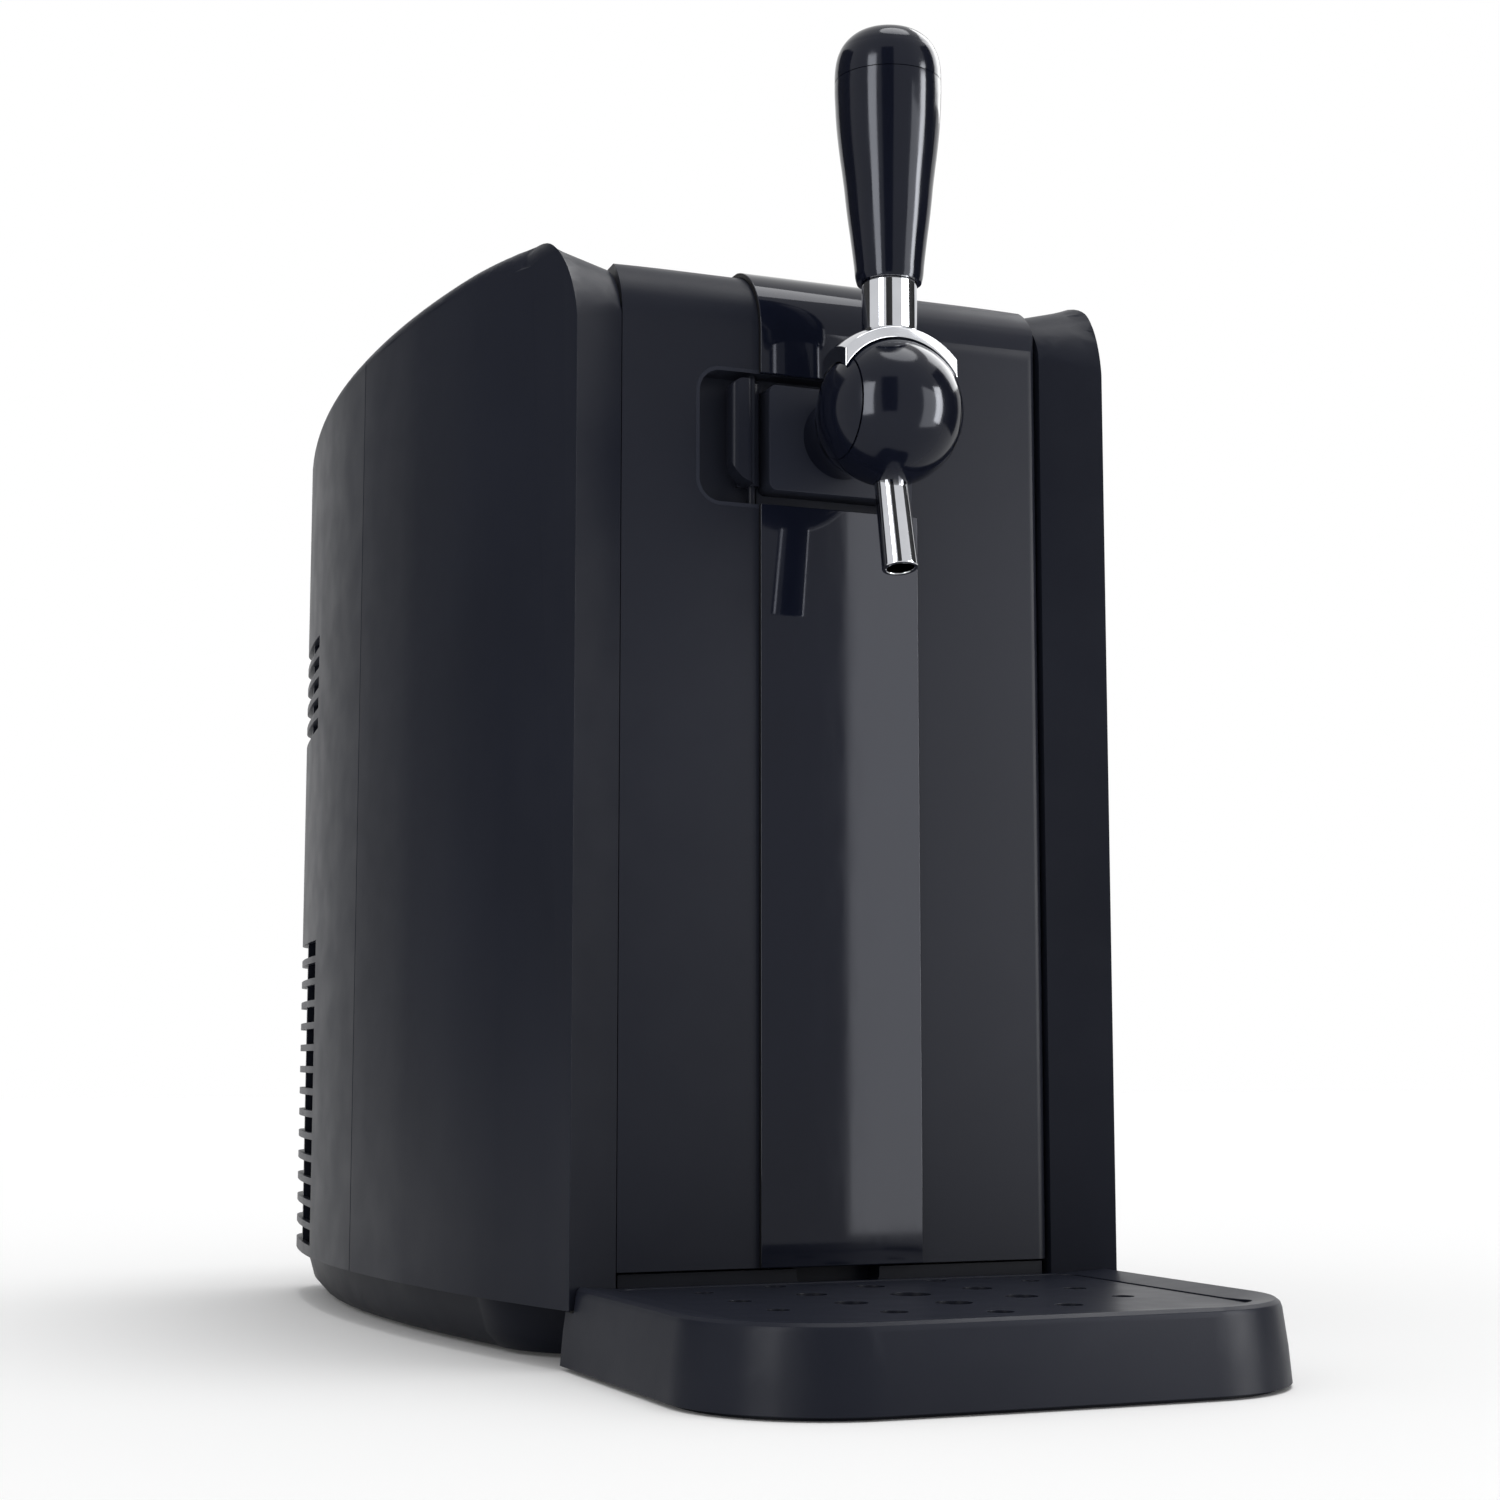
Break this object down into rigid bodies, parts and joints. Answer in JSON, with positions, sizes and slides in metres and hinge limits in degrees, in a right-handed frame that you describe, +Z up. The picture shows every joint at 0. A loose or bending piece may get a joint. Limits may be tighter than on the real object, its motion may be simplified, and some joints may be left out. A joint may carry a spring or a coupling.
{
  "type": "mini keg beer dispenser",
  "caption": "Countertop cooled beer dispenser for a mini keg, with bulged sides, a hinged front door carrying a ball tap and upright pull lever, and a slide-out drip tray.",
  "frame": {"origin": "on the floor, in the middle of the overall width and depth", "axes": "+Z up; -Y is the front, where the tap and drip tray are; +X is to the right seen from the front, so the door hinge is on the +X side"},
  "size_m": [0.2624, 0.5044, 0.4561],
  "materials": {
    "body_plastic": "fine satin grain",
    "base_plastic": "fine grain",
    "gloss_black": "polished",
    "chrome": "polished",
    "stainless": "brushed",
    "zinc_steel": "zinc plated",
    "aluminium": "machined",
    "liner_plastic": "smooth",
    "foam": "closed-cell foam",
    "rubber": "matte",
    "hose": "flexible, translucent white",
    "window": "polished, smoked",
    "screen": "display module",
    "circuit": "solder mask",
    "ceramic": "fired ceramic, matte",
    "magnet": "sintered magnet",
    "brass": "turned",
    "black_plastic": "smooth",
    "pump_metal": "enamelled",
    "supply_metal": "galvanised"
  },
  "bodies": {
    "casing": {"base_plinth": "base_plastic", "rubber_feet": "rubber", "front_sill": "base_plastic", "side_shell_left": "body_plastic", "side_shell_right": "body_plastic", "rear_cover": "body_plastic", "casing_screws": "zinc_steel", "top_cover": "body_plastic", "display_window": "window", "display_screen": "screen", "control_board": "circuit", "chamber_liner": "liner_plastic", "insulation_jacket": "foam", "cold_block": "aluminium", "cooling_module": "ceramic", "heat_sink": "aluminium", "fan_frame": "black_plastic", "keg_stand": "stainless", "gas_connector": "brass", "air_hose": "hose", "chamber_frame": "base_plastic", "hinge_arms": "zinc_steel", "latch_keeper": "zinc_steel", "mains_inlet": "black_plastic", "switch_bezel": "black_plastic", "power_supply": "supply_metal", "air_pump": "pump_metal"},
    "door": {"door_panel": "body_plastic", "handle_pocket": "base_plastic", "door_liner": "liner_plastic", "door_foam": "foam", "door_gasket": "rubber", "centre_strip": "gloss_black", "hinge_pins": "zinc_steel", "tap_carrier": "base_plastic", "tap_housing": "gloss_black", "tap_ball": "gloss_black", "ball_caps": "gloss_black", "tap_pivot_pin": "chrome", "spout": "chrome"},
    "tap_lever": {"tap_saddle": "chrome", "handle_grip": "gloss_black", "grip_cap": "gloss_black"},
    "door_pull": {"door_handle": "base_plastic"},
    "latch": {"latch_slide": "zinc_steel", "latch_magnet": "magnet"},
    "tray": {"drip_tray": "body_plastic"},
    "tray_lid": {"tray_cover": "body_plastic"},
    "fan": {"fan_impeller": "black_plastic"},
    "rocker": {"rocker_switch": "black_plastic"},
    "button": {"display_button": "gloss_black"}
  },
  "joints": [
    {"name": "door_swing", "type": "hinge", "parent": "casing", "child": "door", "pos_m": [0.0768, -0.09525, 0], "axis": [0, 0, 1], "range_deg": [0, 90]},
    {"name": "tap_lever_pull", "type": "hinge", "parent": "door", "child": "tap_lever", "pos_m": [0, -0.14325, 0.3195], "axis": [1, 0, 0], "range_deg": [0, 26]},
    {"name": "door_pull_turn", "type": "hinge", "parent": "door", "child": "door_pull", "pos_m": [-0.0314, -0.09495, 0.3], "axis": [0, 0, 1], "range_deg": [0, 32]},
    {"name": "latch_shift", "type": "slide", "parent": "door", "child": "latch", "axis": [-1, 0, 0], "range_m": [0, 0.0024], "stiffness_N_per_m": 300},
    {"name": "tray_pull", "type": "slide", "parent": "casing", "child": "tray", "axis": [0, -1, 0], "range_m": [0, 0.155]},
    {"name": "tray_lid_lift", "type": "slide", "parent": "tray", "child": "tray_lid", "axis": [0, 0, 1], "range_m": [0, 0.06]},
    {"name": "fan_spin", "type": "hinge", "parent": "casing", "child": "fan", "pos_m": [0, 0.13075, 0.19], "axis": [0, 1, 0], "continuous": true},
    {"name": "rocker_tip", "type": "hinge", "parent": "casing", "child": "rocker", "pos_m": [0.018, 0.24805, 0.058], "axis": [-1, 0, 0], "range_deg": [0, 14]},
    {"name": "button_press", "type": "slide", "parent": "casing", "child": "button", "axis": [0, 0, -1], "range_m": [0, 0.0012], "stiffness_N_per_m": 500}
  ],
  "couplings": [
    {"joint": "door_pull_turn", "follows": "latch_shift", "rad_per_m": 218.16}
  ]
}
